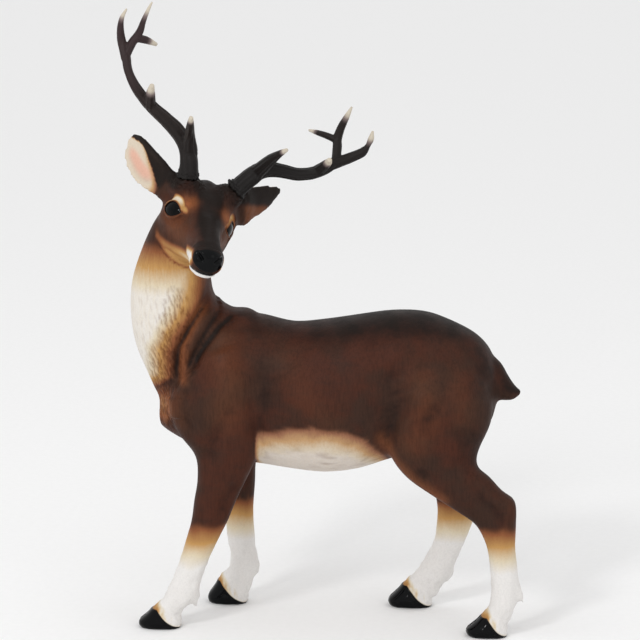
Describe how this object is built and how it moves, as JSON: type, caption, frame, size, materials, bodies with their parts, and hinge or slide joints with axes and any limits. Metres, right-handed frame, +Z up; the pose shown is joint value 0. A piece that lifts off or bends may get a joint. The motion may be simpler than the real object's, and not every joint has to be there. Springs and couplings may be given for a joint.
{
  "type": "deer figurine",
  "caption": "Standing stag figurine in painted resin, head turned back over its left side, branched antlers; stands free on its hooves.",
  "frame": {"origin": "middle of the outline in plan, on the surface that the hooves stand on", "axes": "+Z up, the stag walks towards -X, its own left flank is at -Y, and its nose points to -Y"},
  "size_m": [0.3042, 0.142, 0.4712],
  "materials": {
    "painted_resin": "matt airbrushed paint, dark brown body, cream bib and belly, white lower legs",
    "antler_paint": "satin paint, near-black brown at the burrs fading to ivory tips",
    "gloss_black": "gloss black lacquer on eyes, nose and hooves"
  },
  "bodies": {
    "root": {"body": "painted_resin", "antler_left": "antler_paint", "antler_right": "antler_paint"}
  },
  "joints": []
}
